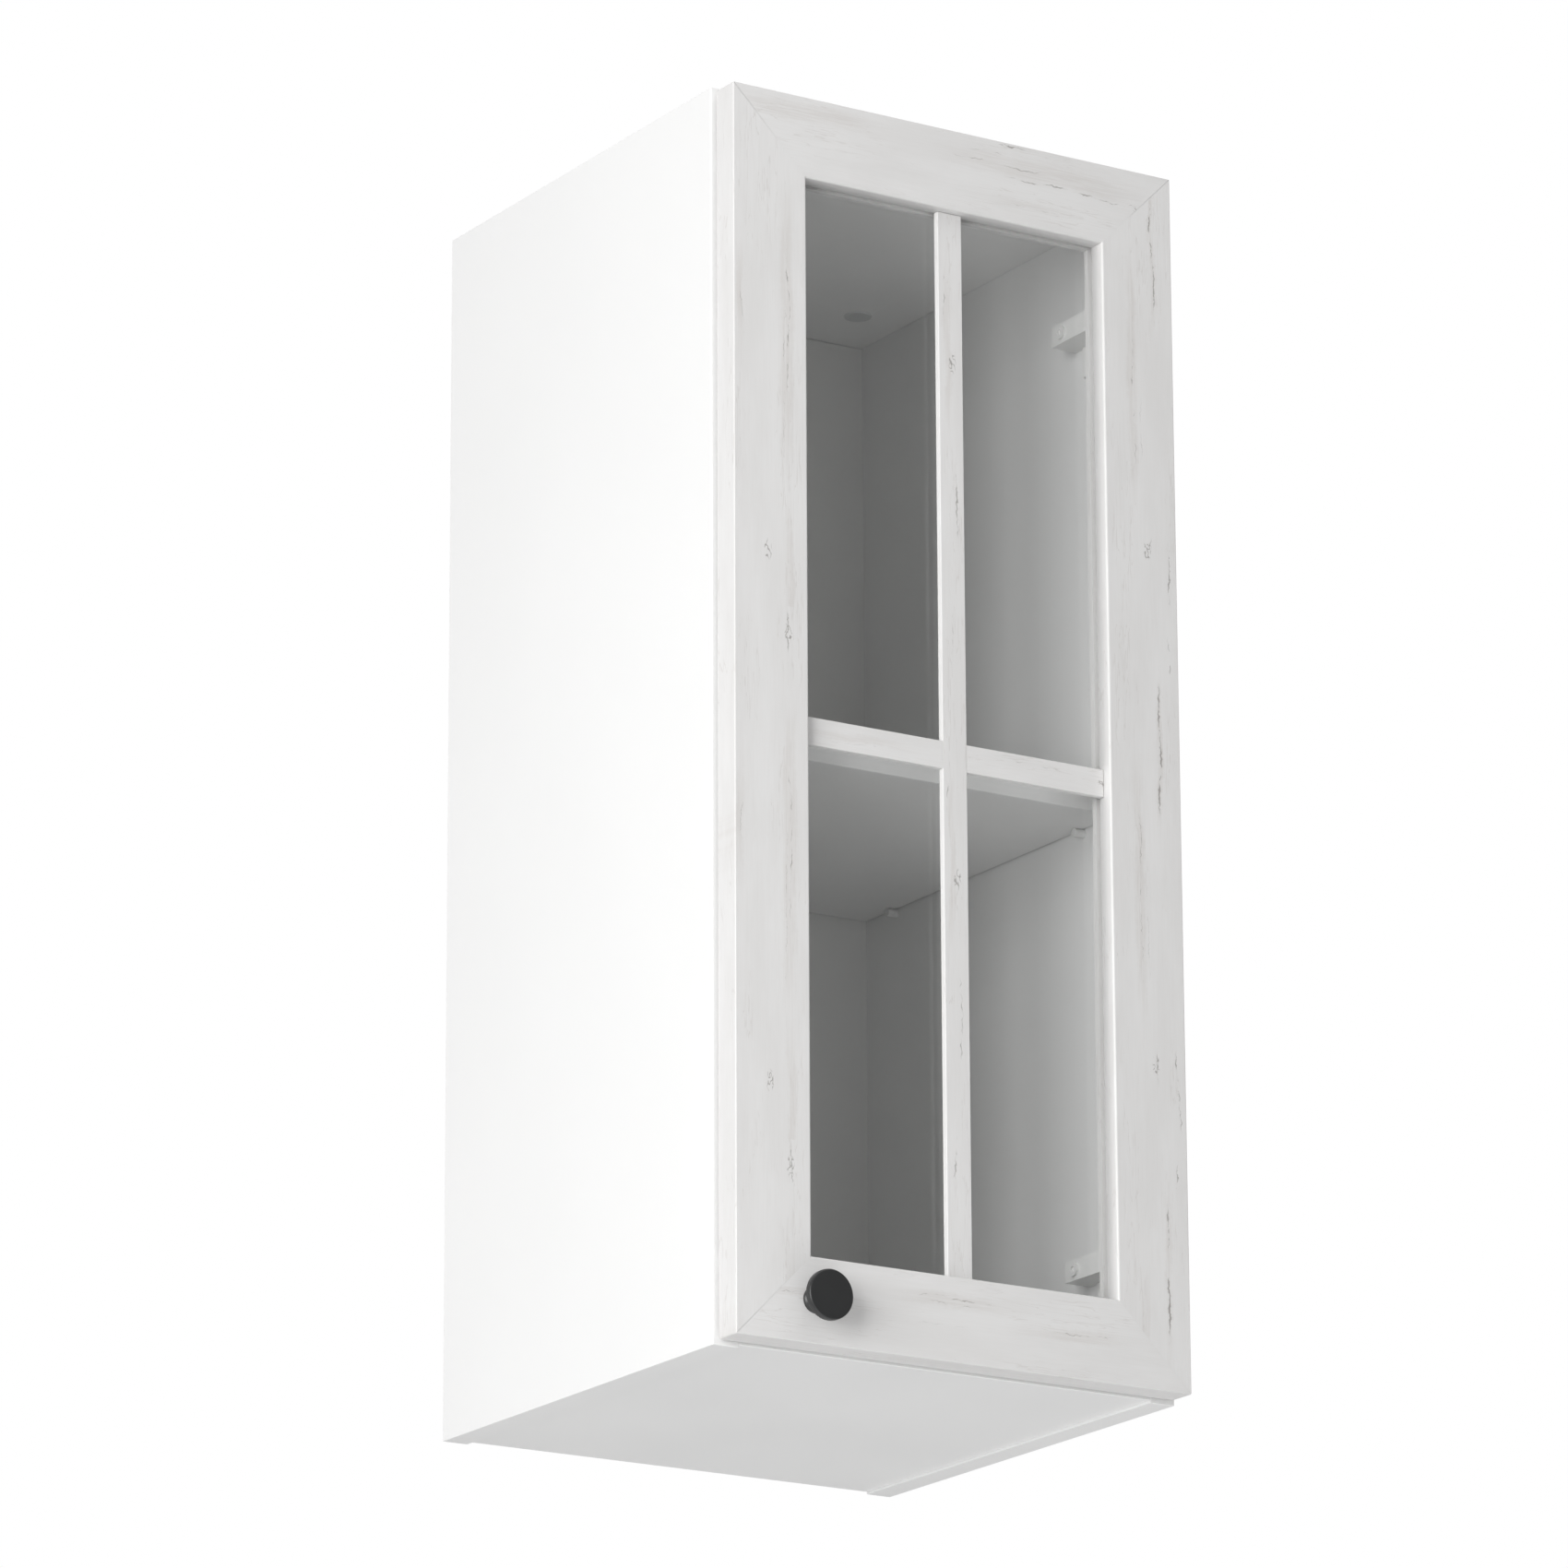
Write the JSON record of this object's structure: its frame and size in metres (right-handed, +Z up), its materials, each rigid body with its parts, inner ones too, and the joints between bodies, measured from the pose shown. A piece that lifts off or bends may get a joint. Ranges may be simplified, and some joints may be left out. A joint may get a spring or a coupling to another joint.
{
  "type": "glazed wall cabinet",
  "caption": "Narrow white wall-hung cabinet with a framed, glazed door divided by a cross of bars, a round dark knob and a middle shelf.",
  "frame": {"origin": "centre of the bottom panel's underside; the side panels reach 1.5 mm lower", "axes": "+Z up, -Y out of the front of the cabinet through the door, +Y into the wall, hinges on the +X side"},
  "size_m": [0.3, 0.327, 0.72],
  "materials": {
    "white_board": "satin melamine",
    "white_hardboard": "matt lacquer",
    "white_edging": "satin",
    "pale_pine_foil": "matt foil with a whitewashed pine grain",
    "clear_glass": "clear",
    "black_metal": "satin black",
    "beech": "raw, fluted",
    "white_nylon": "matt",
    "clear_bumper": "soft translucent",
    "white_lacquered_steel": "white lacquer",
    "white_plastic": "satin",
    "zinc_casting": "die-cast satin",
    "nickel_steel": "nickel plated",
    "zinc_plated_steel": "zinc plated"
  },
  "bodies": {
    "carcass": {"back_nails": "zinc_plated_steel", "back_panel": "white_hardboard", "bottom_panel": "white_board", "cam_bolts": "zinc_plated_steel", "cam_covers": "white_nylon", "cam_locks": "zinc_casting", "door_bumpers": "clear_bumper", "edge_band_bottom": "white_edging", "edge_band_shelf": "white_edging", "edge_band_side_left": "white_edging", "edge_band_side_right": "white_edging", "edge_band_top": "white_edging", "hanger_plate_left": "zinc_plated_steel", "hanger_plate_right": "zinc_plated_steel", "hanger_screws": "zinc_plated_steel", "hinge_arm_lower": "white_lacquered_steel", "hinge_arm_pins": "nickel_steel", "hinge_arm_screws": "white_lacquered_steel", "hinge_arm_upper": "white_lacquered_steel", "hinge_plate_lower": "white_lacquered_steel", "hinge_plate_screws": "white_lacquered_steel", "hinge_plate_upper": "white_lacquered_steel", "shelf": "white_board", "shelf_pins": "white_plastic", "side_panel_left": "white_board", "side_panel_right": "white_board", "top_panel": "white_board", "wooden_dowels": "beech"},
    "links": {"hinge_links": "nickel_steel"},
    "door": {"door_rail_bottom": "pale_pine_foil", "door_rail_top": "pale_pine_foil", "door_stile_left": "pale_pine_foil", "door_stile_right": "pale_pine_foil", "glass_bead_bottom": "pale_pine_foil", "glass_bead_left": "pale_pine_foil", "glass_bead_right": "pale_pine_foil", "glass_bead_top": "pale_pine_foil", "glass_pane": "clear_glass", "glazing_bar_horizontal": "pale_pine_foil", "glazing_bar_vertical": "pale_pine_foil", "hinge_cup_lower": "nickel_steel", "hinge_cup_pins": "nickel_steel", "hinge_cup_screws": "nickel_steel", "hinge_cup_upper": "nickel_steel", "knob": "black_metal", "knob_screw": "zinc_plated_steel", "mitre_dowels": "beech"}
  },
  "joints": [
    {"name": "link_swing", "type": "hinge", "parent": "carcass", "child": "links", "pos_m": [0.119, -0.152, 0.36], "axis": [0, 0, 1], "range_deg": [-40, 0]},
    {"name": "door_turn", "type": "hinge", "parent": "links", "child": "door", "pos_m": [0.1372, -0.1528, 0.36], "axis": [0, 0, 1], "range_deg": [0, 140]}
  ],
  "couplings": [
    {"joint": "link_swing", "follows": "door_turn", "ratio": -0.2857}
  ]
}
